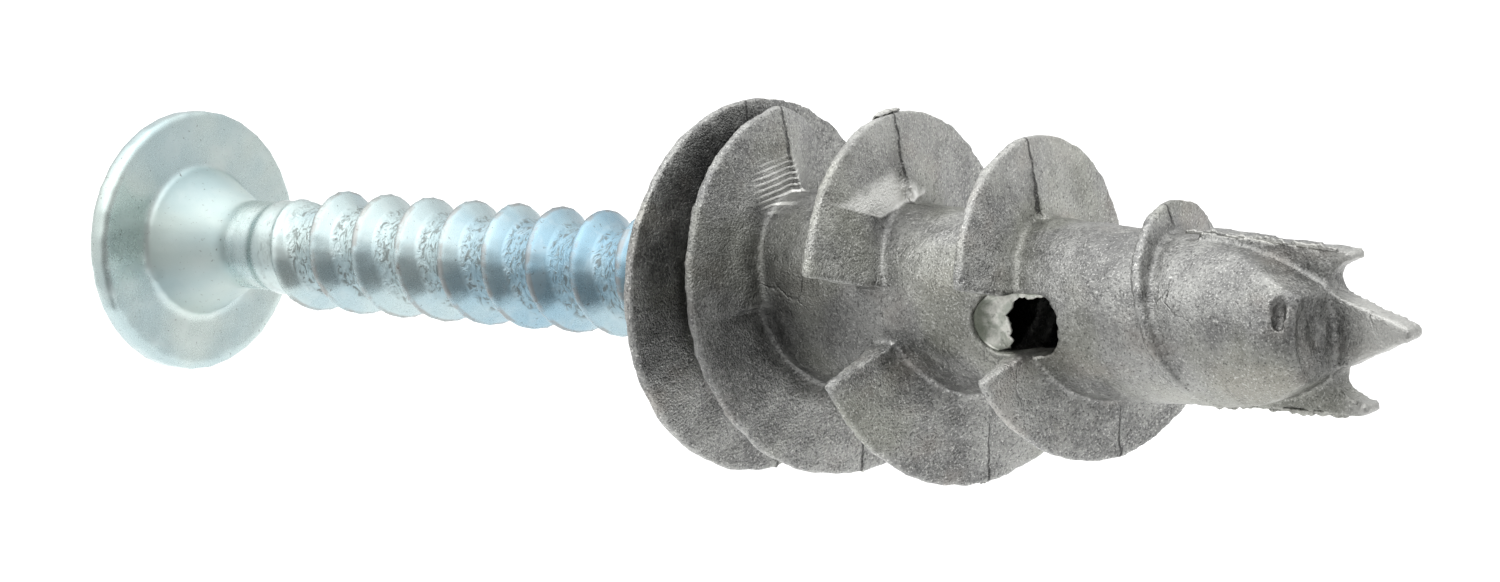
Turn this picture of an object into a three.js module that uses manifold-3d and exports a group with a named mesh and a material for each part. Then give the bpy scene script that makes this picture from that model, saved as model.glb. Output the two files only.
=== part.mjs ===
// Self-drilling plasterboard anchor with its screw, in millimetres.
//
// +X runs along the axis towards the drill tip, +Z is up. The origin is on the axis, in the plane
// of the flange face that lies on the wall. The anchor is one zinc die casting: a flange with a
// cross recess, a core with a coarse right-hand blade, and a flat drill tip. The steel screw is
// threaded into the anchor's bore and stands most of the way out of it.

import * as THREE from 'three';
import { mergeVertices } from 'three/addons/utils/BufferGeometryUtils.js';
import Module from 'manifold-3d';

const wasm = await Module();
wasm.setup();

const TURN = 2 * Math.PI;

// Anchor: flange and core.
const FLANGE_R = 6.5;
const FLANGE_RIM = 0.4;           // thickness at the edge
const FLANGE_HEIGHT = 0.9;        // thickness around the bore
const CORE_R = 3.45;              // next to the flange
const BARREL_R = 2.82;            // drill-tip end of the core
const BARREL_START = 17;          // where the taper of the core ends
const NOSE_START = 19.8;          // seen from the side, the barrel closes from here as an ellipse
const NOSE_LENGTH = 7.1;
const NOSE_RIDGE = 25.95;         // seen from above it stays blunt up to this ridge
const NOSE_END = 26.05;
const NOSE_SLANT_X = 26.4;        // on +Y a slant at 45 degrees meets the middle plane here
const RECESS_DEPTH = 2.2;         // cross recess for the driver, around the bore
const RECESS_REACH = 3.0;
const RECESS_WIDTH = 1.1;

// Anchor: blade.
const BLADE_PITCH = 6.0;
const BLADE_START = 1.0;          // x of the rim at the top of the first turn, by the pitch alone
const BLADE_LAG = 0.7;            // the first turn starts this much further on, to clear the flange
const BLADE_LAG_TURNS = 0.6;      // and is back on the pitch after this much of a turn
const BLADE_R = 6.35;
const BLADE_FIRST_TURN = -0.14;   // turns, counted from the top of the first turn
const BLADE_RAMP = 15.5;          // pitch of the ramp that joins the first turn to the flange
const BLADE_LAST_TURN = 3.5;
const BLADE_RIM = 0.38;           // thickness at the rim
const BLADE_DRAFT = 0.22;         // how much each flank leans out from rim to core
const BLADE_STEP = 0.34;          // extra lean at the end of each mould quarter
const BLADE_GAP = 17 / 360;       // half the gap over the window's mould slide, in turns
const BLADE_GAP_TURNS = [1.25, 2.25];
const BLADE_STEPS = 10;           // facets in a quarter turn
const BLADE_SEAM = 0.0015;        // half the width of the step between quarters, in turns

// Anchor: window, drill tip and bore.
const WINDOW_X = 14.43;
const WINDOW_LENGTH = 3.75;
const WINDOW_WIDTH = 2.05;
const FIN_THICKNESS = 0.8;
const FIN_HALF_HEIGHT = 2.74;     // at the spurs
const FIN_ROOT_HEIGHT = 3.04;     // its upper edge stands higher where it leaves the barrel
const FIN_START = 20.6;
const SPUR_TOP_X = 27.0;
const SPUR_BOTTOM_X = 27.2;
const POINT_X = 29.15;
const POINT_Z = 0.1;
const POINT_HALF_HEIGHT = 1.2;
const POINT_R = 0.3;
const MOUTH_R = 2.65;             // the bore opens out at the flange, clear of the screw's thread
const MOUTH_DEPTH = 0.85;
const PILOT_R = 1.8;              // bore between the threads
const PILOT_END = 24.2;
const TAPPED_END = 21;

// Screw, 4.5 x 35 mm.
const HEAD_UNDERSIDE = -29.1;
const SCREW_LENGTH = 35;          // underside of the head to the tip
const HEAD_R = 4.85;
const HEAD_RIM = 0.92;
const HEAD_DOME = 0.6;
const UNDERHEAD_R = 2.8;
const NECK_R = 1.65;
const COLLAR_R = 1.75;            // rolled blank just before the thread
const ROOT_R = 1.52;
const THREAD_R = 2.25;
const THREAD_PITCH = 2.25;
const THREAD_CREST = 0.14;
const THREAD_HEAD_SIDE = 0.45;    // axial width of the flank on the head's side
const THREAD_TIP_SIDE = 0.8;      // axial width of the flank on the tip's side
const THREAD_TOP_X = -21.2;       // a crest at the top of the screw
const THREAD_START = -24.2;
const THREAD_FADE_TURNS = 0.7;
const TIP_LENGTH = 4.5;
const THREAD_STEPS = 24;          // facets in a turn
const GROOVE_STEPS = 16;          // facets in a turn of the bore's thread
const THREAD_GAP = 0.16;          // play between the screw and the thread it cut in the bore
const RECESS_ARM = 2.25;          // half the span of the driver's cross at the top of the head
const RECESS_ARM_FLOOR = 1.0;     // and at its bottom
const RECESS_ARM_WIDTH = 0.9;
const SCREW_RECESS_DEPTH = 2.2;
const SPINE_R = 0.6;
const SPINE_GAP = 0.3;
const SPINE_END = 0;

const zinc = { color: 0x8e8e8c, roughness: 0.6, metalness: 0.85 };
const steel = { color: 0xc3d2d6, roughness: 0.3, metalness: 0.95 };

// Join and cut --------------------------------------------------------------------------------

// Turns a closed geometry into a solid.
function solid(geometry) {
  const bare = geometry.index ? geometry.toNonIndexed() : geometry.clone();
  bare.deleteAttribute('normal');
  bare.deleteAttribute('uv');
  const merged = mergeVertices(bare, 1e-5);
  const vertProperties = new Float32Array(merged.attributes.position.array);
  const triVerts = new Uint32Array(merged.index.array);
  return new wasm.Manifold(new wasm.Mesh({ numProp: 3, vertProperties, triVerts }));
}

// Turns a solid back into a geometry.
function geometryOf(body) {
  const mesh = body.getMesh();
  const geometry = new THREE.BufferGeometry();
  const positions = new Float32Array(mesh.numVert * 3);
  for (let i = 0; i < mesh.numVert; i++) {
    for (let axis = 0; axis < 3; axis++) {
      positions[3 * i + axis] = mesh.vertProperties[i * mesh.numProp + axis];
    }
  }
  geometry.setAttribute('position', new THREE.BufferAttribute(positions, 3));
  geometry.setIndex(new THREE.BufferAttribute(new Uint32Array(mesh.triVerts), 1));
  geometry.computeVertexNormals();
  return geometry;
}

const joined = (bodies) => bodies.reduce((sum, body) => sum.add(body));
const cut = (body, tools) => tools.reduce((rest, tool) => rest.subtract(tool), body);

// Shapes --------------------------------------------------------------------------------------

// A body of revolution about X. The outline is a list of [x, radius] points, from axis to axis.
function turned(outline, segments = 48) {
  const points = outline.map(([x, radius]) => new THREE.Vector2(radius, x));
  const geometry = new THREE.LatheGeometry(points, segments);
  geometry.rotateZ(-Math.PI / 2);
  return solid(geometry);
}

// A flat plate: an outline in X and Z, given a thickness along Y, then turned about X.
function plate(shape, thickness, y = 0, turns = 0) {
  const geometry = new THREE.ExtrudeGeometry(shape, {
    depth: thickness, bevelEnabled: false, curveSegments: 10,
  });
  geometry.translate(0, 0, -thickness / 2);
  geometry.rotateX(Math.PI / 2);
  geometry.translate(0, y, 0);
  geometry.rotateX(turns * TURN);
  return solid(geometry);
}

function box(x0, x1, width, height) {
  const geometry = new THREE.BoxGeometry(x1 - x0, width, height);
  geometry.translate((x0 + x1) / 2, 0, 0);
  return solid(geometry);
}

// A point on the screw line: angles run from +Z towards -Y, which is right-handed along +X.
function around(x, radius, turns) {
  const angle = turns * TURN;
  return [x, -radius * Math.sin(angle), radius * Math.cos(angle)];
}

// Winds a section around X, with one facet between each station and the next. section(turns)
// gives the corners as [x, radius], counter-clockwise with x to the right and radius upwards.
// Every section has the same number of corners.
function wound(section, stations) {
  const corners = section(stations[0]).map(([x, radius]) => new THREE.Vector2(x, radius));
  const steps = stations.length - 1;
  const geometry = new THREE.ExtrudeGeometry(new THREE.Shape(corners), {
    depth: 1, steps, bevelEnabled: false,
  });
  const position = geometry.attributes.position;
  for (let i = 0; i < position.count; i++) {
    const turns = stations[Math.round(position.getZ(i) * steps)];
    const corner = nearest(corners, position.getX(i), position.getY(i));
    const [x, radius] = section(turns)[corner];
    position.setXYZ(i, ...around(x, radius, turns));
  }
  return solid(geometry);
}

// Even stations from one turn to another.
function spaced(from, to, steps) {
  return Array.from({ length: steps + 1 }, (_, i) => THREE.MathUtils.lerp(from, to, i / steps));
}

function nearest(corners, x, y) {
  const distances = corners.map((corner) => Math.hypot(corner.x - x, corner.y - y));
  return distances.indexOf(Math.min(...distances));
}

// Anchor --------------------------------------------------------------------------------------

function coreRadius(x) {
  const along = THREE.MathUtils.clamp(x / BARREL_START, 0, 1);
  return THREE.MathUtils.lerp(CORE_R, BARREL_R + 0.08, along);
}

// The flange and the tapering core, turned in one piece.
function flangeAndCore() {
  const rimTop = -FLANGE_RIM;
  const fillet = [0.04, 0.2, 0.45].map((x) => [x, CORE_R + (0.5 - x) ** 2]);
  return turned([
    [-FLANGE_HEIGHT, 0],
    [-FLANGE_HEIGHT, 4.7],
    [rimTop, FLANGE_R - 0.12],
    [rimTop + 0.12, FLANGE_R],
    [0, FLANGE_R],
    [0, CORE_R + 0.32],
    ...fillet,
    [BARREL_START, coreRadius(BARREL_START)],
    [NOSE_START, BARREL_R],
    [NOSE_START, 0],
  ], 48);
}

// The nose that closes the barrel: an ellipse seen from the side, and seen from above blunt on
// -Y, with a ridge around its hollow end, and slanted on +Y.
function nose() {
  const radius = BARREL_R - 0.01;
  const blunt = turned([
    [NOSE_START - 0.5, 0],
    [NOSE_START - 0.5, radius],
    [NOSE_RIDGE - 1.25, radius],
    [NOSE_RIDGE - 0.6, radius - 0.12],
    [NOSE_RIDGE - 0.18, radius - 0.34],
    [NOSE_RIDGE, radius - 0.55],
    [NOSE_RIDGE - 0.12, radius - 0.78],
    [NOSE_RIDGE - 0.06, radius - 1.5],
    [NOSE_END, 0.6],
    [NOSE_END, 0],
  ], 48);
  const beyond = 2 * BARREL_R;
  const side = new THREE.Shape();
  side.moveTo(NOSE_START - 2, beyond);
  side.lineTo(NOSE_START - 2, -beyond);
  side.absellipse(NOSE_START, 0, NOSE_LENGTH, BARREL_R, -Math.PI / 2, Math.PI / 2, false, 0);
  side.closePath();
  const above = new THREE.Shape();
  above.moveTo(NOSE_START - 2, beyond);
  above.lineTo(NOSE_START - 2, -beyond);
  above.lineTo(NOSE_SLANT_X - beyond, -beyond);
  above.lineTo(NOSE_SLANT_X + 1, 1);
  above.lineTo(NOSE_SLANT_X + 1, beyond);
  above.closePath();
  const slanted = blunt.intersect(plate(above, 2 * beyond, 0, 0.25));
  return cut(slanted.intersect(plate(side, 2 * beyond)), noseHollows());
}

// A dent in the barrel behind the ridge, and a pit in the hollow end.
function noseHollows() {
  const dent = new THREE.SphereGeometry(1, 14, 9);
  dent.scale(0.27, 0.34, 0.68);
  dent.translate(NOSE_RIDGE - 0.5, -2.42, 1.0);
  const pit = new THREE.SphereGeometry(1, 14, 9);
  pit.scale(0.28, 0.42, 0.58);
  pit.translate(NOSE_END - 0.05, -1.22, 0.12);
  return [solid(dent), solid(pit)];
}

// Rim radius of the blade at chosen turns: full for a turn and a half, then falling away.
const BLADE_RADII = [
  [BLADE_FIRST_TURN, 5.3], [0, BLADE_R], [1.3, BLADE_R], [1.5, 6.27], [2, 5.76], [2.5, 4.95],
  [3, 3.82], [3.25, 3.12], [BLADE_LAST_TURN, 2.75],
];

function bladeRadius(turns) {
  const next = BLADE_RADII.findIndex(([turn]) => turn > turns - 1e-9);
  const [turnB, radiusB] = BLADE_RADII[Math.max(next, 1)];
  const [turnA, radiusA] = BLADE_RADII[Math.max(next, 1) - 1];
  return THREE.MathUtils.lerp(radiusA, radiusB, (turns - turnA) / (turnB - turnA));
}

// x of the blade's rim: a ramp out of the flange, then the pitch, with the first turn late.
function bladeX(turns) {
  if (turns < 0) return BLADE_START + BLADE_LAG + BLADE_RAMP * turns;
  return BLADE_START + BLADE_PITCH * turns + BLADE_LAG * Math.max(0, 1 - turns / BLADE_LAG_TURNS);
}

// The blade is cast in quarters. In each quarter the flank on the tip's side leans out more and
// more towards the end, and the other flank does the opposite, so they step at every quarter.
function bladeSection(turns) {
  const x = bladeX(turns);
  const rim = bladeRadius(turns);
  const foot = coreRadius(x) - 0.35;
  const middle = (rim + coreRadius(x)) / 2;
  const along = turns * 4 - Math.floor(turns * 4);
  const size = THREE.MathUtils.clamp((rim - BARREL_R) / (BLADE_R - BARREL_R), 0.15, 1);
  const tipLean = size * (BLADE_DRAFT + BLADE_STEP * along ** 2);
  const headLean = size * (BLADE_DRAFT + BLADE_STEP * (1 - along) ** 2);
  return [
    [x - BLADE_RIM - headLean * 1.15, foot],
    [x + tipLean * 1.15, foot],
    [x + tipLean * 0.4, middle],
    [x, rim - 0.05],
    [x - 0.05, rim],
    [x - BLADE_RIM + 0.05, rim],
    [x - BLADE_RIM, rim - 0.05],
    [x - BLADE_RIM - headLean * 0.4, middle],
  ];
}

// Stations along one run of blade, with a narrow step wherever two quarters meet.
function bladeStations(from, to) {
  const stations = [];
  for (let quarter = Math.floor(from * 4); quarter < to * 4; quarter++) {
    const start = Math.max(from, quarter / 4 + BLADE_SEAM);
    const end = Math.min(to, (quarter + 1) / 4 - BLADE_SEAM);
    stations.push(...spaced(start, end, BLADE_STEPS));
  }
  return stations;
}

// Three runs of blade, with the gaps for the mould slide between them. The first grows out of
// the flange.
function blade() {
  const starts = [BLADE_FIRST_TURN, ...BLADE_GAP_TURNS.map((turns) => turns + BLADE_GAP)];
  const ends = [...BLADE_GAP_TURNS.map((turns) => turns - BLADE_GAP), BLADE_LAST_TURN];
  const runs = starts.map((from, i) => wound(bladeSection, bladeStations(from, ends[i])));
  const beyondFlange = box(-FLANGE_RIM / 2, POINT_X, 4 * FLANGE_R, 4 * FLANGE_R);
  return joined(runs).intersect(beyondFlange);
}

// The flat drill tip: a fin across the barrel with a spur on each edge and a point between them.
function drillTip() {
  const shape = new THREE.Shape();
  const top = FIN_HALF_HEIGHT;
  const low = SPUR_BOTTOM_X;
  const high = SPUR_TOP_X;
  shape.moveTo(FIN_START, -top);
  shape.lineTo(low - 0.25, -top + 0.04);
  shape.quadraticCurveTo(low + 0.08, -top + 0.1, low - 0.02, -top + 0.42);
  shape.quadraticCurveTo(low - 1.2, -top + 0.65, low - 1.3, -1.6);
  shape.quadraticCurveTo(low - 1.3, -POINT_HALF_HEIGHT, low - 0.8, -POINT_HALF_HEIGHT + 0.05);
  shape.lineTo(POINT_X - 0.42, POINT_Z - POINT_R);
  shape.absarc(POINT_X - POINT_R, POINT_Z, POINT_R, -1.2, 1.2, false);
  shape.lineTo(high - 0.7, POINT_HALF_HEIGHT);
  shape.quadraticCurveTo(high - 1.05, POINT_HALF_HEIGHT + 0.1, high - 1.05, 1.75);
  shape.quadraticCurveTo(high - 1.0, top - 0.55, high - 0.02, top - 0.35);
  shape.quadraticCurveTo(high + 0.06, top - 0.08, high - 0.25, top - 0.02);
  shape.lineTo(FIN_START, FIN_ROOT_HEIGHT);
  shape.closePath();
  return plate(shape, FIN_THICKNESS);
}

// The side window over the bore, a long round-ended hole through the wall on -Y.
function window() {
  const shape = new THREE.Shape();
  const r = WINDOW_WIDTH / 2;
  const half = WINDOW_LENGTH / 2 - r;
  shape.absarc(WINDOW_X + half, 0, r, -Math.PI / 2, Math.PI / 2, false);
  shape.absarc(WINDOW_X - half, 0, r, Math.PI / 2, 1.5 * Math.PI, false);
  shape.closePath();
  return plate(shape, 4, -3);
}

// The thread's section, used for the screw and, made larger by play, for the groove in the bore.
function threadSection(turns, play = 0) {
  const x = THREAD_TOP_X + THREAD_PITCH * turns;
  const foot = ROOT_R - 0.2;
  const tip = HEAD_UNDERSIDE + SCREW_LENGTH;
  const grown = THREE.MathUtils.clamp((x - THREAD_START) / (THREAD_FADE_TURNS * THREAD_PITCH), 0.2, 1);
  const tapered = THREE.MathUtils.clamp((tip - x - 0.4) / (TIP_LENGTH - 0.4), 0.02, 1);
  const size = play ? 1 : Math.min(grown, tapered);
  const crest = ROOT_R + (THREAD_R - ROOT_R) * size + play;
  const lift = play ? 0 : rootRadius(x) - ROOT_R;
  const half = THREAD_CREST / 2 + play;
  const share = 1.25 * size;
  return [
    [x - half - THREAD_HEAD_SIDE * share - play * 0.3, Math.max(foot + lift, 0.05)],
    [x + half + THREAD_TIP_SIDE * share + play * 0.3, Math.max(foot + lift, 0.05)],
    [x + half, crest + lift],
    [x - half, crest + lift],
  ];
}

// Radius of the screw between the threads: constant, then closing to the tip.
function rootRadius(x) {
  const tip = HEAD_UNDERSIDE + SCREW_LENGTH;
  return ROOT_R * THREE.MathUtils.clamp((tip - x) / TIP_LENGTH, 0, 1);
}

// The bore: a cored hole with a countersunk mouth, and the thread that the screw cut in it.
function bore() {
  const pilot = turned([
    [-FLANGE_HEIGHT - 1, 0],
    [-FLANGE_HEIGHT - 1, MOUTH_R],
    [-FLANGE_HEIGHT, MOUTH_R],
    [-FLANGE_HEIGHT + MOUTH_DEPTH, PILOT_R],
    [PILOT_END - 0.9, PILOT_R],
    [PILOT_END, PILOT_R - 1.1],
    [PILOT_END, 0],
  ], 16);
  const lead = THREAD_PITCH / 2;
  const from = (-FLANGE_HEIGHT - lead - THREAD_TOP_X) / THREAD_PITCH;
  const to = (TAPPED_END - THREAD_TOP_X) / THREAD_PITCH;
  const steps = Math.round((to - from) * GROOVE_STEPS);
  const groove = wound((turns) => threadSection(turns, THREAD_GAP), spaced(from, to, steps));
  return pilot.add(groove);
}

function crossRecess() {
  const x0 = -FLANGE_HEIGHT - 1;
  const x1 = -FLANGE_HEIGHT + RECESS_DEPTH;
  const across = box(x0, x1, RECESS_WIDTH, 2 * RECESS_REACH);
  const along = box(x0, x1, 2 * RECESS_REACH, RECESS_WIDTH);
  return across.add(along);
}

function anchor() {
  const body = joined([flangeAndCore(), nose(), blade(), drillTip()]);
  return cut(body, [bore(), crossRecess(), window()]);
}

// Screw ---------------------------------------------------------------------------------------

function screwBlank() {
  const x = HEAD_UNDERSIDE;
  const top = x - HEAD_RIM;
  const tip = x + SCREW_LENGTH;
  const dome = [0, 0.35, 0.65, 0.9].map((share) => {
    return [top - HEAD_DOME * (1 - share ** 2), (HEAD_R - 0.15) * share];
  });
  return turned([
    ...dome,
    [top + 0.04, HEAD_R - 0.12],
    [top + 0.18, HEAD_R],
    [x - 0.14, HEAD_R],
    [x - 0.03, HEAD_R - 0.1],
    [x, HEAD_R - 0.2],
    [x, UNDERHEAD_R],
    [x + 2.35, NECK_R + 0.06],
    [x + 2.6, NECK_R],
    [x + 4.4, NECK_R],
    [x + 4.6, COLLAR_R],
    [x + 5.9, COLLAR_R],
    [x + 6.2, ROOT_R],
    [tip - TIP_LENGTH, ROOT_R],
    [tip - 0.15, ROOT_R * 0.15 / TIP_LENGTH + 0.04],
    [tip, 0],
  ], 32);
}

function screwThread() {
  const tip = HEAD_UNDERSIDE + SCREW_LENGTH;
  const from = (THREAD_START - THREAD_TOP_X) / THREAD_PITCH;
  const to = (tip - 0.9 - THREAD_TOP_X) / THREAD_PITCH;
  const steps = Math.round((to - from) * THREAD_STEPS);
  return wound((turns) => threadSection(turns), spaced(from, to, steps));
}

// Cross recess for the driver, with arms that close in towards the bottom.
function driverRecess() {
  const top = HEAD_UNDERSIDE - HEAD_RIM - HEAD_DOME;
  const closing = (RECESS_ARM - RECESS_ARM_FLOOR) / SCREW_RECESS_DEPTH;
  const shape = new THREE.Shape();
  shape.moveTo(top - 1, -RECESS_ARM - closing);
  shape.lineTo(recessFloor(), -RECESS_ARM_FLOOR);
  shape.lineTo(recessFloor(), RECESS_ARM_FLOOR);
  shape.lineTo(top - 1, RECESS_ARM + closing);
  shape.closePath();
  return plate(shape, RECESS_ARM_WIDTH).add(plate(shape, RECESS_ARM_WIDTH, 0, 0.25));
}

function recessFloor() {
  return HEAD_UNDERSIDE - HEAD_RIM - HEAD_DOME + SCREW_RECESS_DEPTH;
}

// The hole along the middle of the screw that the spine lies in.
function spineHole() {
  const wall = SPINE_R + SPINE_GAP;
  const end = SPINE_END + SPINE_GAP;
  return turned([[recessFloor() - 0.5, 0], [recessFloor() - 0.5, wall], [end, wall], [end, 0]], 20);
}

function screw() {
  return cut(screwBlank().add(screwThread()), [driverRecess(), spineHole()]);
}

// The middle of the screw. It travels with the screw but needn't turn, so it carries the travel.
function screwSpine() {
  const start = recessFloor() + 0.1;
  return turned([[start, 0], [start, SPINE_R], [SPINE_END, SPINE_R], [SPINE_END, 0]], 20);
}

// Assembly ------------------------------------------------------------------------------------

function piece(name, body, look) {
  const mesh = new THREE.Mesh(geometryOf(body), new THREE.MeshStandardMaterial(look));
  mesh.name = name;
  return mesh;
}

const part = new THREE.Group();
part.add(piece('anchor', anchor(), zinc));
part.add(piece('screw', screw(), steel));
part.add(piece('screw_spine', screwSpine(), steel));

export default part;
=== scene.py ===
"""Self-drilling plasterboard anchor with its screw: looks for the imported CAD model.

Frame: metres, +X along the axis towards the drill tip, +Z up, origin on the axis in the plane of
the flange face that lies on the wall.
"""

import math

import bpy
from mathutils import Matrix, Vector, noise


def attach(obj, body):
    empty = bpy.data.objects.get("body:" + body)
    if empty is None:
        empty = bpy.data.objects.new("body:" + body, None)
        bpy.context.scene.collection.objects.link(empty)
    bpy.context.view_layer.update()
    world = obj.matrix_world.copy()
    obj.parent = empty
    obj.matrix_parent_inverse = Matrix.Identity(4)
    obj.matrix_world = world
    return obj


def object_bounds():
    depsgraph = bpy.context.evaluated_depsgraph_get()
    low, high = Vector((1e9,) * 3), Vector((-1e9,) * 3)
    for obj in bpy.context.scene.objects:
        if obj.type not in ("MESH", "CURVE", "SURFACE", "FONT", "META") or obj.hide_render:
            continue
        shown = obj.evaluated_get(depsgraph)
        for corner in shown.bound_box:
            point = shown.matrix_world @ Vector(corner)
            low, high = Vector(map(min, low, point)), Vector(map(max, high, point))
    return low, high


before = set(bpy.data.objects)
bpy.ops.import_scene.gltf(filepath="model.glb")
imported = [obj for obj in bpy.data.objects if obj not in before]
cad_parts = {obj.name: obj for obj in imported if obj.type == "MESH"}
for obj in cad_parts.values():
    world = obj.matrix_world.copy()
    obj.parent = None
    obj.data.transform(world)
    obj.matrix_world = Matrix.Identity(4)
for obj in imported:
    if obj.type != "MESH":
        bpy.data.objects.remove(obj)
CAD_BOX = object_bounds()

MM = 0.001

# Camera: azimuth 0 looks along +Y, and roll turns the picture about its centre.
CAMERA_AZIMUTH = math.radians(44.5)
CAMERA_ELEVATION = math.radians(9.7)
CAMERA_ROLL = math.radians(4.84)
CAMERA_DISTANCE = 261 * MM
CAMERA_RIGHT = -0.4 * MM          # how far the camera stands to the side of the origin's line
CAMERA_UP = -0.22 * MM
CAMERA_LENS = 180.0
SENSOR_WIDTH = 36.0

FLOOR_DROP = 30 * MM              # below the lowest point of the part
FLOOR_REACH = 2.6                 # away from the camera's side
FLOOR_NEAR = 0.03                 # and towards it

DIM_SIDE = (0.72, -0.67, -0.17)   # the studio is dark around this direction
DIM_FLATNESS = 1.3                # above one, the dim part is wider than it is high
DIM_INNER = 12                    # degrees: fully dim inside this, and bright outside the next
DIM_OUTER = 74
DIM_LEVEL = 0.33
STUDIO_LEVEL = 0.90
OVERHEAD_LEVEL = 0.8              # more light straight from above
OVERHEAD_FROM = 0.35              # height of the direction where it starts, with one straight up
KEY_SIDE = (-0.3, -0.5, 1.0)      # and more still around this direction
KEY_REACH = 62                    # degrees
KEY_LEVEL = 0.8
LAMP_DISTANCE = 1.0               # metres
LAMP_SIZE = 1.2                   # metres a side
LAMP_POWER = 1.2                  # watts: faint, since the studio itself gives most of the light

ANCHOR_VOXEL = 0.10 * MM
SCREW_VOXEL = 0.07 * MM
ANCHOR_KEPT = 0.45                # share of the skin's faces kept, which leaves under 200,000
SCREW_KEPT = 0.42

# The anchor's own measures, in millimetres: they place the flash left by its mould.
RIM_R = 6.35                      # rim of the blade
RIM_START_X = 0.82                # x of the rim where its angle is zero, at the top
BLADE_PITCH = 6                   # x gained in a turn
RIM_SINK = 0.15                   # how far inside the rim the burrs start and the curl is centred
WINDOW_START = 12.62
WINDOW_HALF = 0.98
BARREL_R = 2.87
LIP_EDGE_X = 13.72                # free edge of the window's flash, before its tears
LIP_DEPTH = 0.45                  # how far that flash slopes in
FRINGE_START = 13.75
FRINGE_LENGTH = 1.75
CURL_X = 6.74                     # on the rim of the second turn
CURL_START_Y = -0.62
CURL_LENGTH = 1.05
CURL_R = 0.22
FIN_ROOT_X = 20.6
FIN_SPUR_X = 26.9
FIN_ROOT_Z = 3.04
FIN_SPUR_Z = 2.74
FIN_HALF = 0.4

# Where a look changes on the part, in millimetres: where the change starts, and where it is whole.
# Painted shade by the core, among the turns:
BY_CORE_R = (4.6, 3.1)
BY_TURNS_X = (10.5, 6.5)
# Painted shade on the barrel between the turns:
ON_BARREL_R = (3.4, 3.0)
ON_BARREL_X = (6.5, 10.5)
OUTER_SKIN_R = (3.2, 4.6)
# Painted light at the point:
POINT_X = (26.0, 27.2)
# Painted light on the upper blade:
UPPER_BLADE_Z = (3.4, 5.4)
UPPER_BLADE_X = (3.5, 6.8)
# Painted shade on the first turn's near side:
FIRST_TURN_SIDE = (2.6, -4.6, 0.4)   # the middle of the darker patch there, and its reach
FIRST_TURN_REACH = 4.4
# Painted shade on the torn lip's steep start, by the window's end:
LIP_WALL_X = (13.35, 12.95)
BLUER_X = (-30, -4)
THREAD_X = (-24.4, -24.0)
THREAD_ROOT_R = (1.80, 1.62)
THREAD_CREST_R = (2.12, 2.19)
INSIDE_HEAD_R = (2.6, 2.4)
CONE_START_X = (-29.1, -28.8)
CONE_END_X = (-26.0, -26.6)

# Colours of the metals, as linear red, green, blue and alpha; several zinc colours are painted
# light and shade.
ZINC_DARK = (0.200, 0.201, 0.199, 1)
ZINC_PALE = (0.500, 0.503, 0.485, 1)
ZINC_WARM = (0.400, 0.352, 0.310, 1)
ZINC_GREEN = (0.410, 0.420, 0.330, 1)
# Painted highlight: bright glints on the grain.
ZINC_GLINT_HIGHLIGHT = (0.80, 0.80, 0.77, 1)
ZINC_PORE = (0.045, 0.045, 0.047, 1)
ZINC_CRACK = (0.080, 0.080, 0.080, 1)
# Painted shade by the core, on the barrel, on the first turn, in corners and along the parting
# line; painted light at the point and on the upper blade; rims partly wear, partly painted
# highlight.
ZINC_CORE_SHADE = (0.060, 0.061, 0.058, 1)
ZINC_BARREL_SHADE = (0.100, 0.100, 0.095, 1)
ZINC_FIRST_TURN_SHADE = (0.050, 0.051, 0.050, 1)
ZINC_POINT_LIGHT = (0.62, 0.62, 0.59, 1)
ZINC_UPPER_BLADE_LIGHT = (0.68, 0.68, 0.64, 1)
ZINC_CORNER_SHADE = (0.045, 0.046, 0.046, 1)
ZINC_CREASE_SHADOW = (0.035, 0.035, 0.035, 1)
ZINC_RIM_WEAR_AND_HIGHLIGHT = (0.66, 0.66, 0.62, 1)
ZINC_SCORED = (0.86, 0.86, 0.83, 1)
ZINC_RUBBED = (0.90, 0.90, 0.87, 1)
TORN_DARK = (0.46, 0.49, 0.43, 1)
TORN_PALE = (0.86, 0.86, 0.80, 1)
TORN_SPECK = (0.14, 0.13, 0.12, 1)
# Painted shade on the torn lip's steep start.
TORN_WALL_SHADE = (0.105, 0.125, 0.085, 1)
PLATING_PALE = ((0.555, 0.635, 0.610, 1), (0.370, 0.490, 0.535, 1))   # by the head, and bluer
PLATING_BLUE = ((0.440, 0.545, 0.555, 1), (0.250, 0.395, 0.485, 1))
PLATING_CLOUD = (0.66, 0.70, 0.69, 1)
PLATING_SCORED = (0.15, 0.16, 0.15, 1)
PLATING_FLECK = (0.13, 0.13, 0.12, 1)
PLATING_CREST = (0.26, 0.23, 0.21, 1)
# Painted shade in the screw's corners.
PLATING_CORNER_SHADE = (0.10, 0.13, 0.15, 1)


# Node helpers ----------------------------------------------------------------------------------

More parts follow.
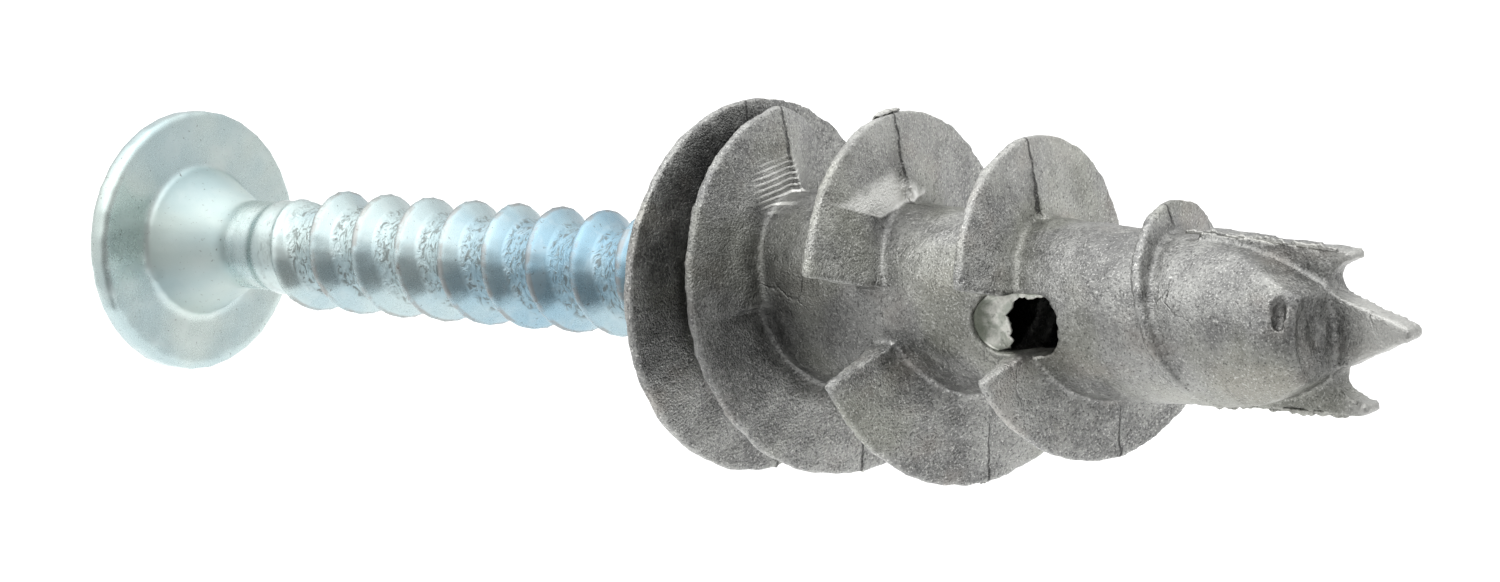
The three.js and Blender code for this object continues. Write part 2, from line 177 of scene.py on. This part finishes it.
class Nodes:
    """Short names for making and joining shader nodes."""

    def __init__(self, tree):
        self.tree = tree

    def add(self, kind, **inputs):
        """A new node with the given inputs set."""
        node = self.tree.nodes.new(kind)
        for key, value in inputs.items():
            self.set(node, key, value)
        return node

    def set(self, node, key, value):
        """Links an input to a socket, or gives it a plain value."""
        socket = node.inputs[key.replace("_", " ")] if isinstance(key, str) else node.inputs[key]
        if isinstance(value, bpy.types.NodeSocket):
            self.tree.links.new(value, socket)
        else:
            socket.default_value = value

    def math(self, operation, a, b=0.0):
        """The result of one sum on one or two values."""
        node = self.tree.nodes.new("ShaderNodeMath")
        node.operation = operation
        self.set(node, 0, a)
        self.set(node, 1, b)
        return node.outputs[0]

    def noise(self, scale_mm, detail, roughness, vector, distortion=0.0):
        """Cloudy noise of that scale in millimetres."""
        node = self.add("ShaderNodeTexNoise", Scale=1 / (scale_mm * MM), Detail=detail,
                        Roughness=roughness, Distortion=distortion, Vector=vector)
        return node.outputs["Fac"]

    def sum(self, *terms):
        """Adds weighted values, given as (weight, value)."""
        total = None
        for weight, value in terms:
            term = self.math("MULTIPLY", value, weight)
            total = term if total is None else self.math("ADD", total, term)
        return total

    def position(self):
        """Object coordinates, their x, y and z, and the distance from the part's axis."""
        place = self.add("ShaderNodeTexCoord").outputs["Object"]
        split = self.add("ShaderNodeSeparateXYZ", Vector=place)
        x, y, z = split.outputs
        across = self.math("ADD", self.math("MULTIPLY", y, y), self.math("MULTIPLY", z, z))
        return place, x, y, z, self.math("SQRT", across)

    def near(self, place, centre, reach):
        """One at a point, falling to nothing at a distance, all in millimetres."""
        target = Vector(centre) * MM
        away = self.tree.nodes.new("ShaderNodeVectorMath")
        away.operation = "DISTANCE"
        self.set(away, 0, place)
        away.inputs[1].default_value = target
        return self.ramp(away.outputs["Value"], reach * 0.35 * MM, reach * MM, 1, 0)

    def stretched(self, place, scale):
        """Coordinates stretched so that a pattern runs long where scale is small."""
        mapping = self.add("ShaderNodeMapping", Vector=place)
        mapping.inputs["Scale"].default_value = scale
        return mapping.outputs[0]

    def edges(self, distance_mm):
        """One on rims and outward edges, where there is little metal behind the surface."""
        node = self.add("ShaderNodeAmbientOcclusion", Distance=distance_mm * MM)
        node.inside = True
        node.samples = 6
        return self.math("SUBTRACT", 1.0, node.outputs["AO"])

    def cracks(self, place, scale_mm, width):
        """Thin wandering lines."""
        wander = self.add("ShaderNodeTexNoise", Vector=place, Scale=1 / (0.8 * MM), Detail=3.0)
        shift = self.tree.nodes.new("ShaderNodeVectorMath")
        shift.operation = "MULTIPLY_ADD"
        self.set(shift, 0, wander.outputs["Color"])
        shift.inputs[1].default_value = (0.7 * MM, 0.7 * MM, 0.7 * MM)
        self.set(shift, 2, place)
        cells = self.tree.nodes.new("ShaderNodeTexVoronoi")
        cells.feature = "DISTANCE_TO_EDGE"
        self.set(cells, "Vector", shift.outputs[0])
        self.set(cells, "Scale", 1 / (scale_mm * MM))
        return self.ramp(cells.outputs["Distance"], width, 0.0)

    def hollows(self, distance_mm):
        """One in corners and hollows, nothing in the open."""
        node = self.add("ShaderNodeAmbientOcclusion", Distance=distance_mm * MM)
        node.samples = 6
        return self.math("SUBTRACT", 1.0, node.outputs["AO"])

    def ramp(self, value, low, high, start=0.0, end=1.0):
        """start as far as low, end from high on, and a smooth change between them."""
        node = self.tree.nodes.new("ShaderNodeMapRange")
        node.interpolation_type = "SMOOTHSTEP"
        self.set(node, "Value", value)
        self.set(node, "From Min", low)
        self.set(node, "From Max", high)
        self.set(node, "To Min", start)
        self.set(node, "To Max", end)
        return node.outputs["Result"]

    def zone(self, value, places, start=0.0, end=1.0):
        """A ramp between two places on the part, given in millimetres."""
        first, whole = places
        return self.ramp(value, first * MM, whole * MM, start, end)

    def mix(self, factor, a, b):
        """Colour a where the factor is zero, and b where it is one."""
        node = self.tree.nodes.new("ShaderNodeMix")
        node.data_type = "RGBA"
        self.set(node, 0, factor)
        self.set(node, 6, a)
        self.set(node, 7, b)
        return node.outputs[2]


def new_material(name):
    """A new material, the helper that adds its nodes, and its principled shader."""
    material = bpy.data.materials.new(name)
    material.use_nodes = True
    tree = material.node_tree
    tree.nodes.clear()
    nodes = Nodes(tree)
    shader = nodes.add("ShaderNodeBsdfPrincipled")
    output = nodes.add("ShaderNodeOutputMaterial")
    tree.links.new(shader.outputs[0], output.inputs["Surface"])
    return material, nodes, shader


# Materials ---------------------------------------------------------------------------------------

def tool_marks(n, place, y, z):
    """Parallel score lines on the first turn, by the core: a mask, and where the ridges are."""
    across = n.sum((1.0, z), (-0.05, y))
    wave = n.math("SINE", n.math("MULTIPLY", across, 2 * math.pi / (0.20 * MM)))
    ridge = n.ramp(wave, 0.0, 0.8)
    left = n.near(place, (2.05, -1.3, 3.75), 1.3)
    right = n.near(place, (1.85, -0.3, 3.75), 1.2)
    return n.math("MAXIMUM", left, right), ridge


def rubbed_patch(n, x, y, z, cloud):
    """A smooth bright triangle on the second turn, sharp along its two lower edges."""
    lower_left = n.ramp(n.sum((1.0, z), (0.346, y)), 2.40 * MM, 2.50 * MM)
    lower_right = n.ramp(n.sum((1.0, z), (-0.12, y)), 3.26 * MM, 3.36 * MM)
    upper_left = n.ramp(n.sum((1.0, z), (-0.184, y), (0.0008, cloud)), 5.25 * MM, 4.70 * MM)
    upper_right = n.ramp(n.sum((1.0, z), (0.62, y), (0.0008, cloud)), 4.70 * MM, 4.05 * MM)
    second = n.math("MULTIPLY", n.ramp(x, 6.2 * MM, 6.4 * MM), n.ramp(x, 9.2 * MM, 8.9 * MM))
    lower = n.math("MULTIPLY", lower_left, lower_right)
    upper = n.math("MULTIPLY", upper_left, upper_right)
    return n.math("MULTIPLY", n.math("MULTIPLY", lower, upper), second)


def shaded_parting_line(n, y, radius, cloud, grain):
    """The thin line on the blade where the two mould halves met, broken here and there: a groove in
    the bump, darkened with painted shadow.
    """
    off = n.math("ABSOLUTE", n.sum((1.0, y), (0.0004, cloud), (-0.0002, 1.0)))
    line = n.ramp(off, 0.075 * MM, 0.02 * MM)
    on_blade = n.ramp(radius, 3.0 * MM, 3.3 * MM)
    whole = n.math("MULTIPLY", line, on_blade)
    return n.math("MULTIPLY", whole, n.ramp(grain, 0.36, 0.52, 0.35, 1))


def cast_skin(n, place, blotch, cloud, grain, speck):
    """Grey by blotches, clouds and grain, warm or green in places, with pores and painted
    highlights as bright glints.
    """
    warm = n.noise(2.6, 3, 0.5, n.stretched(place, (0.7, 1, 1.3)))
    green = n.noise(4.5, 2, 0.5, n.stretched(place, (1.1, 0.8, 1)))
    tone = n.sum((0.34, blotch), (0.28, cloud), (0.38, grain))
    base = n.mix(n.ramp(tone, 0.39, 0.61), ZINC_DARK, ZINC_PALE)
    base = n.mix(n.ramp(warm, 0.52, 0.72, 0, 0.34), base, ZINC_WARM)
    base = n.mix(n.ramp(green, 0.48, 0.66, 0, 0.34), base, ZINC_GREEN)
    # Painted highlight: bright glints on the grain.
    base = n.mix(n.ramp(speck, 0.59, 0.69, 0, 0.70), base, ZINC_GLINT_HIGHLIGHT)
    return n.mix(n.ramp(speck, 0.41, 0.31, 0, 0.70), base, ZINC_PORE)


def painted_light_and_shade(n, base, place, x, z, radius):
    """Painted shade by the core, on the barrel, on the first turn and in corners; painted light at
    the point and on the upper blade.
    """
    # Painted shade by the core, among the turns.
    core_shade = n.math("MULTIPLY", n.zone(radius, BY_CORE_R), n.zone(x, BY_TURNS_X))
    base = n.mix(n.math("MULTIPLY", core_shade, 0.60), base, ZINC_CORE_SHADE)
    # Painted shade on the barrel between the turns.
    barrel_shade = n.math("MULTIPLY", n.zone(radius, ON_BARREL_R), n.zone(x, ON_BARREL_X))
    base = n.mix(n.math("MULTIPLY", barrel_shade, 0.28), base, ZINC_BARREL_SHADE)
    # Painted shade on the first turn's near side.
    first_turn = n.near(place, FIRST_TURN_SIDE, FIRST_TURN_REACH)
    base = n.mix(n.math("MULTIPLY", first_turn, 0.50), base, ZINC_FIRST_TURN_SHADE)
    # Painted light at the point.
    base = n.mix(n.zone(x, POINT_X, 0, 0.45), base, ZINC_POINT_LIGHT)
    # Painted light on the upper blade.
    upper = n.math("MULTIPLY", n.zone(z, UPPER_BLADE_Z), n.zone(x, UPPER_BLADE_X))
    base = n.mix(n.math("MULTIPLY", upper, 0.22), base, ZINC_UPPER_BLADE_LIGHT)
    # Painted shade in corners and hollows.
    return n.mix(n.ramp(n.hollows(2.4), 0.30, 0.76, 0, 0.88), base, ZINC_CORNER_SHADE)


def cast_zinc():
    """Grey zinc as it comes from the mould: grainy and blotched, with painted shade in corners and
    rims bright with wear and painted highlight.
    """
    material, n, shader = new_material("cast_zinc")
    place, x, y, z, radius = n.position()
    blotch = n.noise(3.2, 4, 0.55, place)
    cloud = n.noise(0.9, 5, 0.6, place, 0.3)
    grain = n.noise(0.14, 4, 0.65, place)
    speck = n.noise(0.075, 2, 0.5, place)

    base = cast_skin(n, place, blotch, cloud, grain, speck)
    lines = n.math("MULTIPLY", n.cracks(place, 3.4, 0.014), n.ramp(blotch, 0.52, 0.66))
    base = n.mix(n.math("MULTIPLY", lines, 0.40), base, ZINC_CRACK)
    base = painted_light_and_shade(n, base, place, x, z, radius)

    # The parting line: a groove in the bump, darkened with painted shadow.
    shaded_crease = shaded_parting_line(n, y, radius, cloud, grain)
    base = n.mix(n.math("MULTIPLY", shaded_crease, 0.80), base, ZINC_CREASE_SHADOW)
    # Bright rims: partly wear, partly painted highlight.
    broken = n.ramp(n.sum((0.6, cloud), (0.4, grain)), 0.42, 0.56, 0.05, 0.60)
    rim_wear_and_highlight = n.math("MULTIPLY", n.ramp(n.edges(0.2), 0.34, 0.66), broken)
    base = n.mix(rim_wear_and_highlight, base, ZINC_RIM_WEAR_AND_HIGHLIGHT)

    scored, ridge = tool_marks(n, place, y, z)
    base = n.mix(n.math("MULTIPLY", scored, n.ramp(ridge, 0, 1, 0.15, 1.0)), base, ZINC_SCORED)
    rubbed = rubbed_patch(n, x, y, z, cloud)
    base = n.mix(n.math("MULTIPLY", rubbed, 0.88), base, ZINC_RUBBED)

    n.set(shader, "Base Color", base)
    shader.inputs["Metallic"].default_value = 0.93
    n.set(shader, "Roughness", n.ramp(n.sum((0.5, cloud), (0.5, grain)), 0.35, 0.65, 0.34, 0.54))

    grains = n.sum((0.60, grain), (0.80, speck))
    outer = n.zone(radius, OUTER_SKIN_R)
    rough_skin = n.math("MULTIPLY", grains, n.ramp(outer, 0, 1, 0.50, 1.0))
    height = n.sum((1.0, rough_skin), (0.6, cloud), (-0.3, lines), (-0.6, shaded_crease))
    height = n.sum((1.0, height), (0.25, n.math("MULTIPLY", scored, ridge)))
    bump = n.add("ShaderNodeBump", Height=height, Distance=0.08 * MM, Strength=0.9)
    n.set(shader, "Normal", bump.outputs[0])
    return material


def torn_zinc():
    """Zinc where flash has torn: bright, a little yellow, smoother than the cast skin, with painted
    shade on the lip's steep start.
    """
    material, n, shader = new_material("torn_zinc")
    place, x, _, _, _ = n.position()
    cloud = n.noise(0.5, 4, 0.6, place, 0.4)
    grain = n.noise(0.12, 3, 0.6, place)
    base = n.mix(n.ramp(cloud, 0.36, 0.62), TORN_DARK, TORN_PALE)
    base = n.mix(n.ramp(grain, 0.58, 0.72, 0, 0.5), base, TORN_SPECK)
    # Painted shade on the lip's steep start, by the window's end.
    wall_shade = n.zone(n.sum((1.0, x), (0.0004, cloud)), LIP_WALL_X, 0, 0.85)
    base = n.mix(wall_shade, base, TORN_WALL_SHADE)
    n.set(shader, "Base Color", base)
    shader.inputs["Metallic"].default_value = 0.35
    n.set(shader, "Roughness", n.ramp(grain, 0.3, 0.7, 0.32, 0.5))
    bump = n.add("ShaderNodeBump", Height=n.sum((0.6, grain), (0.8, cloud)), Distance=0.05 * MM,
                 Strength=0.6)
    n.set(shader, "Normal", bump.outputs[0])
    return material


def plated_steel():
    """Steel with a thin blue-white zinc plating: smooth flanks, scored and flecked roots, and
    painted shade in corners.
    """
    material, n, shader = new_material("plated_steel")
    place, x, _, _, radius = n.position()
    film = n.noise(4.0, 3, 0.5, n.stretched(place, (0.6, 1, 1)))
    cloud = n.noise(0.8, 5, 0.6, place, 0.4)
    fine = n.noise(0.11, 3, 0.6, place)
    score = n.noise(0.20, 4, 0.65, n.stretched(place, (1.0, 0.55, 0.55)), 1.2)
    fleck = n.noise(0.17, 3, 0.6, n.stretched(place, (0.8, 1.2, 1.2)), 0.6)
    bluer = n.zone(x, BLUER_X)

    pale = n.mix(bluer, *PLATING_PALE)
    blue = n.mix(bluer, *PLATING_BLUE)
    base = n.mix(n.ramp(film, 0.36, 0.62), blue, pale)
    base = n.mix(n.ramp(cloud, 0.47, 0.70, 0, 0.16), base, PLATING_CLOUD)
    on_thread = n.zone(x, THREAD_X)
    root = n.math("MULTIPLY", n.zone(radius, THREAD_ROOT_R), on_thread)
    scored = n.math("MULTIPLY", root, n.ramp(score, 0.50, 0.60))
    base = n.mix(n.math("MULTIPLY", scored, 0.72), base, PLATING_SCORED)
    base = n.mix(n.ramp(fleck, 0.65, 0.73, 0, 0.75), base, PLATING_FLECK)
    crest = n.math("MULTIPLY", n.zone(radius, THREAD_CREST_R), on_thread)
    crest = n.math("MULTIPLY", crest, n.zone(radius, INSIDE_HEAD_R))
    stained = n.ramp(cloud, 0.40, 0.6, 0.05, 0.6)
    base = n.mix(n.math("MULTIPLY", crest, stained), base, PLATING_CREST)
    # Painted shade in corners and hollows.
    base = n.mix(n.ramp(n.hollows(0.9), 0.40, 0.85, 0, 0.55), base, PLATING_CORNER_SHADE)

    n.set(shader, "Base Color", base)
    shader.inputs["Metallic"].default_value = 0.95
    on_cone = n.math("MULTIPLY", n.zone(x, CONE_START_X), n.zone(x, CONE_END_X))
    rough = n.sum((0.06, cloud), (0.05, fine), (0.16, root), (0.34, on_cone), (0.22, 1.0))
    n.set(shader, "Roughness", rough)
    height = n.sum((0.05, fine), (0.22, cloud), (1.8, n.math("MULTIPLY", root, score)))
    rounded = n.add("ShaderNodeBevel", Radius=0.38 * MM)
    rounded.samples = 6
    bump = n.add("ShaderNodeBump", Height=height, Distance=0.07 * MM, Strength=0.55)
    n.set(bump, "Normal", rounded.outputs[0])
    n.set(shader, "Normal", bump.outputs[0])
    return material


def pale_floor():
    """A matt, nearly white floor."""
    material, _, shader = new_material("pale_floor")
    shader.inputs["Base Color"].default_value = (0.9, 0.9, 0.9, 1)
    shader.inputs["Roughness"].default_value = 0.9
    return material


# CAD nodes ---------------------------------------------------------------------------------------

def roughen(node, name, grain, depth):
    """Moves the surface in and out by a cloudy pattern, as a casting's or a rolled skin is."""
    texture = bpy.data.textures.new(name, "CLOUDS")
    texture.noise_scale = grain
    texture.noise_depth = 2
    displace = node.modifiers.new(name, "DISPLACE")
    displace.texture = texture
    displace.texture_coords = "LOCAL"
    displace.mid_level = 0.5
    displace.strength = depth


def dress(name, material, voxel=None, smoothing=1):
    """Gives a CAD node its material and softens its edges, as casting and plating do."""
    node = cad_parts[name]
    node.data.materials.clear()
    node.data.materials.append(material)
    if voxel:
        remesh = node.modifiers.new("even_skin", "REMESH")
        remesh.mode = "VOXEL"
        remesh.voxel_size = voxel
        remesh.use_smooth_shade = True
        smooth = node.modifiers.new("soft_edges", "SMOOTH")
        smooth.factor = 0.5
        smooth.iterations = smoothing
    return node


def lighten(node, share):
    """Joins faces where the skin is nearly flat, and keeps the given share of them."""
    fewer = node.modifiers.new("fewer_faces", "DECIMATE")
    fewer.decimate_type = "COLLAPSE"
    fewer.ratio = share


# Flash and burrs on the casting ------------------------------------------------------------------

def jitter(seed, along):
    """A repeatable wandering value, mostly between -1 and 1."""
    return noise.noise(Vector((along, seed * 7.3, seed * 3.1))) * 2


def sheet(name, surface, material, columns, rows, thickness):
    """A thin sheet of metal on the anchor. surface(u, v) gives millimetres, u and v from 0 to 1."""
    points = []
    for i in range(columns + 1):
        for j in range(rows + 1):
            points.append(Vector(surface(i / columns, j / rows)) * MM)
    faces = []
    for i in range(columns):
        for j in range(rows):
            a = i * (rows + 1) + j
            faces.append((a, a + 1, a + rows + 2, a + rows + 1))
    mesh = bpy.data.meshes.new(name)
    mesh.from_pydata(points, [], faces)
    mesh.polygons.foreach_set("use_smooth", [True] * len(faces))
    mesh.materials.append(material)
    piece = bpy.data.objects.new(name, mesh)
    bpy.context.scene.collection.objects.link(piece)
    thick = piece.modifiers.new("thickness", "SOLIDIFY")
    thick.thickness = thickness * MM
    thick.offset = 0
    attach(piece, "anchor")


def window_lip(material):
    """A skin of torn flash that slopes in from the window's end nearest the flange."""
    def surface(u, v):
        z = (2 * v - 1) * WINDOW_HALF * 0.99
        round_end = WINDOW_HALF * (1 - math.sqrt(max(0, 1 - (z / WINDOW_HALF) ** 2)))
        start = WINDOW_START + round_end - 0.08
        torn = LIP_EDGE_X + 0.20 * z + 0.12 * jitter(1, 2.5 * z) + 0.10 * jitter(2, 7 * z)
        torn -= 0.35 * math.exp(-((z - 0.18) / 0.10) ** 2)
        x = start + (max(torn, start + 0.1) - start) * u
        depth = LIP_DEPTH * min(1, 1.9 * u) ** 0.8
        radius = BARREL_R - 0.04 - depth + 0.04 * jitter(3, 3 * x + 2 * z)
        return x, -math.sqrt(max(radius ** 2 - z ** 2, 0.5)), z
    sheet("window_lip", surface, material, columns=16, rows=22, thickness=0.07)


def window_fringe(material):
    """Ragged flash that hangs from the upper edge of the window."""
    def surface(u, v):
        x = FRINGE_START + FRINGE_LENGTH * u
        fade = math.sin(math.pi * u) ** 0.5
        hang = 0.07 + 0.10 * abs(jitter(4, 6 * u)) + 0.22 * math.exp(-((u - 0.22) / 0.10) ** 2)
        z = WINDOW_HALF + 0.05 - v * (0.05 + hang * fade)
        radius = BARREL_R - 0.10 - 0.10 * v
        return x, -math.sqrt(radius ** 2 - z ** 2), z
    sheet("window_fringe", surface, material, columns=30, rows=4, thickness=0.06)


def rim_curl(material):
    """A curl of flash on the rim of the second turn, at the parting plane."""
    def surface(u, v):
        angle = math.radians(-20 + 250 * v)
        width = CURL_R * (0.75 + 0.25 * math.sin(math.pi * u))
        y = CURL_START_Y + CURL_LENGTH * u + 0.04 * jitter(5, 4 * v)
        x = CURL_X - width * math.sin(angle) + 0.05 * jitter(6, 3 * u)
        z = RIM_R - RIM_SINK + 0.08 * u - width * 0.9 * math.cos(angle) + 0.03 * jitter(7, 5 * u)
        return x, y, z
    sheet("rim_curl", surface, material, columns=14, rows=12, thickness=0.07)


def parting_flash(name, material, side, seed):
    """A ragged line of flash along an edge of the drill tip's fin."""
    def surface(u, v):
        x = FIN_ROOT_X - 0.6 + (FIN_SPUR_X - FIN_ROOT_X + 0.1) * u
        share = min(max((x - FIN_ROOT_X) / (FIN_SPUR_X - FIN_ROOT_X), 0), 1)
        edge = FIN_ROOT_Z + (FIN_SPUR_Z - FIN_ROOT_Z) * share if side > 0 else FIN_SPUR_Z
        ragged = 0.06 + 0.07 * jitter(seed, 9 * u) + 0.06 * jitter(seed + 1, 31 * u)
        height = max(ragged, 0.0) * math.sin(math.pi * u) ** 0.3
        z = side * (edge - 0.10 + v * (0.10 + height))
        y = -FIN_HALF + 0.06 + 0.05 * jitter(seed + 2, 5 * u)
        return x, y, z
    sheet(name, surface, material, columns=90, rows=3, thickness=0.08)


def blade_burr(name, material, turns, seed):
    """A burr that stands out of the blade's rim where two mould parts met."""
    def surface(u, v):
        angle = 2 * math.pi * (turns + 0.012 * (u - 0.5))
        stand = v * (0.17 + 0.07 * jitter(seed, 4 * u)) * math.sin(math.pi * u) ** 0.4
        radius = RIM_R - RIM_SINK + stand
        waver = 0.08 * (v - 0.5) * jitter(seed + 1, 3 * u)
        x = RIM_START_X + BLADE_PITCH * turns - 0.05 * v + waver
        return x, -radius * math.sin(angle), radius * math.cos(angle)
    sheet(name, surface, material, columns=12, rows=4, thickness=0.09)


# Stage -------------------------------------------------------------------------------------------

def make_floor():
    """A pale floor that reaches far behind the part and only a little way in front of it."""
    low, high = CAD_BOX
    mesh = bpy.data.meshes.new("floor")
    z = low.z - FLOOR_DROP
    x0, x1 = -FLOOR_REACH, high.x + FLOOR_NEAR
    y0, y1 = low.y - FLOOR_NEAR, FLOOR_REACH
    corners = [(x0, y0, z), (x1, y0, z), (x1, y1, z), (x0, y1, z)]
    mesh.from_pydata(corners, [], [(0, 1, 2, 3)])
    floor = bpy.data.objects.new("floor", mesh)
    bpy.context.scene.collection.objects.link(floor)
    mesh.materials.append(pale_floor())


def make_light(name, direction, distance, size, power):
    """A soft square lamp in the given direction from the part, facing it."""
    low, high = CAD_BOX
    centre = (low + high) / 2
    data = bpy.data.lights.new(name, "AREA")
    data.size = size
    data.energy = power
    lamp = bpy.data.objects.new(name, data)
    towards = Vector(direction).normalized()
    lamp.location = centre + towards * distance
    lamp.rotation_mode = "QUATERNION"
    lamp.rotation_quaternion = towards.to_track_quat("Z", "Y")
    bpy.context.scene.collection.objects.link(lamp)


def make_world():
    """The studio that the metal mirrors: dim on one side, brighter above and towards the key."""
    world = bpy.data.worlds.new("studio")
    bpy.context.scene.world = world
    world.use_nodes = True
    n = Nodes(world.node_tree)
    background = world.node_tree.nodes["Background"]
    direction = n.add("ShaderNodeTexCoord").outputs["Generated"]
    squeezed = world.node_tree.nodes.new("ShaderNodeVectorMath")
    squeezed.operation = "NORMALIZE"
    n.set(squeezed, 0, n.stretched(direction, (1, 1, DIM_FLATNESS)))
    towards = world.node_tree.nodes.new("ShaderNodeVectorMath")
    towards.operation = "DOT_PRODUCT"
    n.set(towards, 0, squeezed.outputs[0])
    x, y, z = DIM_SIDE
    towards.inputs[1].default_value = Vector((x, y, z * DIM_FLATNESS)).normalized()
    inner, outer = (math.cos(math.radians(a)) for a in (DIM_INNER, DIM_OUTER))
    level = n.ramp(towards.outputs["Value"], outer, inner, STUDIO_LEVEL, DIM_LEVEL)
    height = n.add("ShaderNodeSeparateXYZ", Vector=direction).outputs["Z"]
    to_key = world.node_tree.nodes.new("ShaderNodeVectorMath")
    to_key.operation = "DOT_PRODUCT"
    n.set(to_key, 0, direction)
    to_key.inputs[1].default_value = Vector(KEY_SIDE).normalized()
    key = n.ramp(to_key.outputs["Value"], math.cos(math.radians(KEY_REACH)), 1.0)
    level = n.sum((1.0, level), (OVERHEAD_LEVEL, n.ramp(height, OVERHEAD_FROM, 1.0)),
                  (KEY_LEVEL, key))
    seen = n.add("ShaderNodeLightPath").outputs["Is Camera Ray"]
    n.set(background, "Color", (1, 1, 1, 1))
    n.set(background, "Strength", n.math("MAXIMUM", level, seen))


def make_camera():
    """The camera at the photo's viewing angle, looking almost straight at the origin."""
    a, e = CAMERA_AZIMUTH, CAMERA_ELEVATION
    back = Vector((math.sin(a) * math.cos(e), -math.cos(a) * math.cos(e), math.sin(e)))
    level = Vector((math.cos(a), math.sin(a), 0))
    upright = back.cross(level)
    right = level * math.cos(CAMERA_ROLL) - upright * math.sin(CAMERA_ROLL)
    up = back.cross(right)
    data = bpy.data.cameras.new("camera")
    data.lens = CAMERA_LENS
    data.sensor_width = SENSOR_WIDTH
    data.clip_start = 0.01
    data.clip_end = 10
    camera = bpy.data.objects.new("camera", data)
    camera.matrix_world = Matrix((right, up, back)).transposed().to_4x4()
    camera.location = back * CAMERA_DISTANCE + right * CAMERA_RIGHT + up * CAMERA_UP
    bpy.context.scene.collection.objects.link(camera)
    bpy.context.scene.camera = camera


# Scene -------------------------------------------------------------------------------------------

zinc = cast_zinc()
torn = torn_zinc()
steel = plated_steel()
casting = dress("anchor", zinc, ANCHOR_VOXEL)
roughen(casting, "ragged_rims", 1.1 * MM, 0.16 * MM)
roughen(casting, "cast_skin", 0.32 * MM, 0.03 * MM)
lighten(casting, ANCHOR_KEPT)
screw = dress("screw", steel, SCREW_VOXEL, smoothing=6)
roughen(screw, "rolled_skin", 0.9 * MM, 0.05 * MM)
lighten(screw, SCREW_KEPT)
dress("screw_spine", steel)

window_lip(torn)
window_fringe(torn)
rim_curl(zinc)
parting_flash("parting_flash_upper", zinc, side=1, seed=8)
parting_flash("parting_flash_lower", zinc, side=-1, seed=12)
blade_burr("burr_first_turn", zinc, turns=0.506, seed=20)
blade_burr("burr_second_turn", zinc, turns=1.50, seed=24)

make_floor()
make_world()
make_light("key", KEY_SIDE, LAMP_DISTANCE, LAMP_SIZE, LAMP_POWER)
make_camera()
bpy.context.scene.view_settings.view_transform = "Standard"
